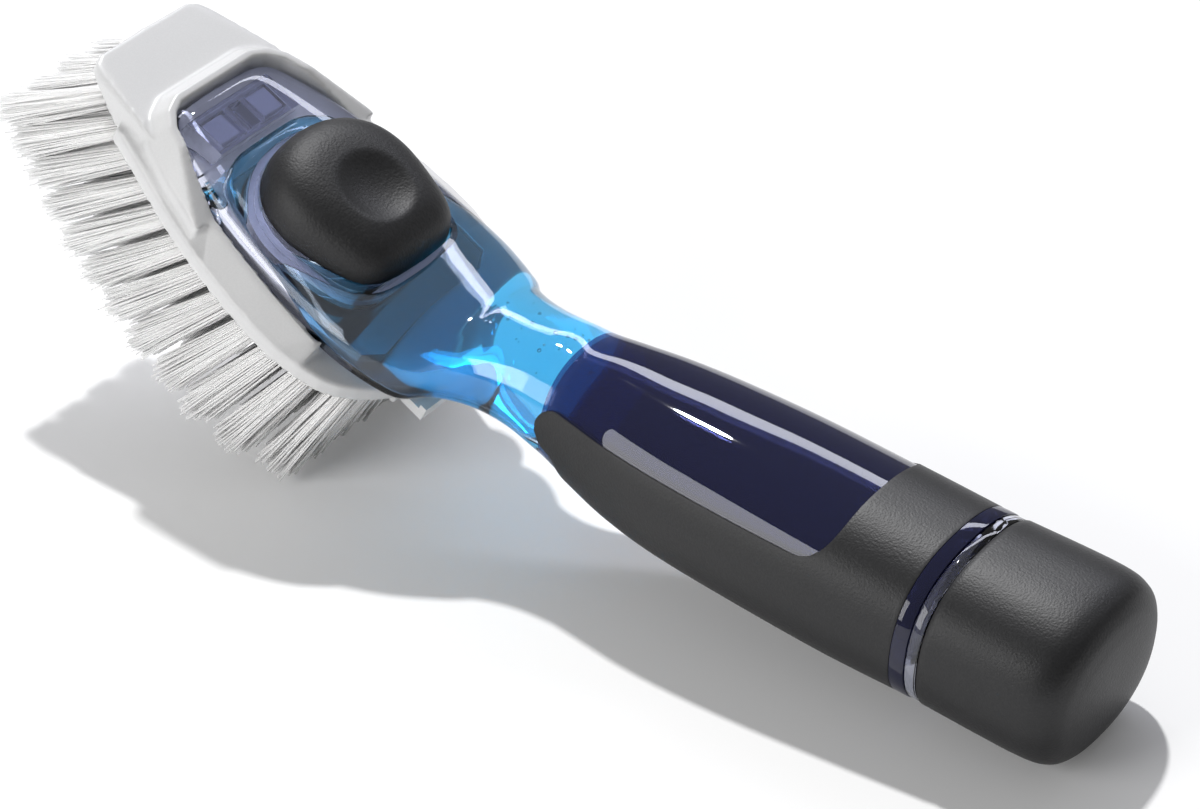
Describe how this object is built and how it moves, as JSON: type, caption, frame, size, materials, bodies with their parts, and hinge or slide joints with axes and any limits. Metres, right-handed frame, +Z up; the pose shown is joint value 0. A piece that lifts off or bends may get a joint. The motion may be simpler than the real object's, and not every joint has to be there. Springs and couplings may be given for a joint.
{
  "type": "dish wand",
  "caption": "Soap-dispensing dish brush: clear soap-filled handle with black grip and screw cap, thumb pump button, and a removable white brush head with scraper.",
  "frame": {"origin": "middle of the bounding box, on the surface that the wand lies on", "axes": "+X from the cap towards the brush head, +Z up, +Y to the side; the wand is symmetric across Y"},
  "size_m": [0.2594, 0.062, 0.076],
  "materials": {
    "clear_plastic": "clear moulded plastic with a lavender tint, glossy",
    "dish_soap": "clear cyan dish soap",
    "grip_rubber": "black soft-touch rubber, fine grain, satin",
    "button_rubber": "black soft-touch rubber, pebbled grain",
    "frosted_plastic": "natural translucent plastic",
    "silicone": "natural silicone",
    "seal_rubber": "black seal rubber",
    "white_plastic": "white moulded plastic, satin",
    "nylon": "white nylon bristle",
    "anchor_wire": "flat anchor wire"
  },
  "bodies": {
    "handle": {"reservoir_body": "clear_plastic", "filler_neck": "clear_plastic", "grip_sleeve": "grip_rubber", "soap_fill": "dish_soap", "head_base": "clear_plastic", "front_catch": "clear_plastic", "pump_plate": "frosted_plastic", "inlet_valve": "silicone", "outlet_valve": "silicone", "nozzle": "frosted_plastic", "nozzle_seal": "seal_rubber", "pump_diaphragm": "silicone", "diaphragm_ring": "frosted_plastic"},
    "button": {"button_cap": "button_rubber", "button_plunger": "frosted_plastic"},
    "cap_carrier": {"cap_seal": "silicone"},
    "cap": {"cap_core": "clear_plastic", "cap_cover": "grip_rubber"},
    "brush_head": {"brush_plate": "white_plastic", "tufts_front": "nylon", "tufts_fore": "nylon", "tufts_aft": "nylon", "tufts_back": "nylon", "tuft_anchors": "anchor_wire"},
    "tab": {"release_tab": "white_plastic"}
  },
  "joints": [
    {"name": "button_press", "type": "slide", "parent": "handle", "child": "button", "axis": [0.5068, 0, -0.8621], "range_m": [0, 0.0032], "stiffness_N_per_m": 1200, "springref_m": -0.0008, "deforming": ["pump_diaphragm"]},
    {"name": "cap_lift", "type": "slide", "parent": "handle", "child": "cap_carrier", "axis": [-0.9958, 0, -0.0915], "range_m": [0, 0.0075]},
    {"name": "cap_turn", "type": "hinge", "parent": "cap_carrier", "child": "cap", "pos_m": [-0.10884, 0, 0.01715], "axis": [-0.9958, 0, -0.0915], "range_deg": [0, 450]},
    {"name": "head_release", "type": "slide", "parent": "handle", "child": "brush_head", "axis": [0.5068, 0, -0.8621], "range_m": [0, 0.024]},
    {"name": "tab_flex", "type": "hinge", "parent": "brush_head", "child": "tab", "pos_m": [0.02848, 0, 0.0242], "axis": [0, -1, 0], "range_deg": [0, 12], "stiffness_Nm_per_rad": 0.15}
  ],
  "couplings": [
    {"joint": "cap_turn", "follows": "cap_lift", "rad_per_m": 1047.2}
  ]
}
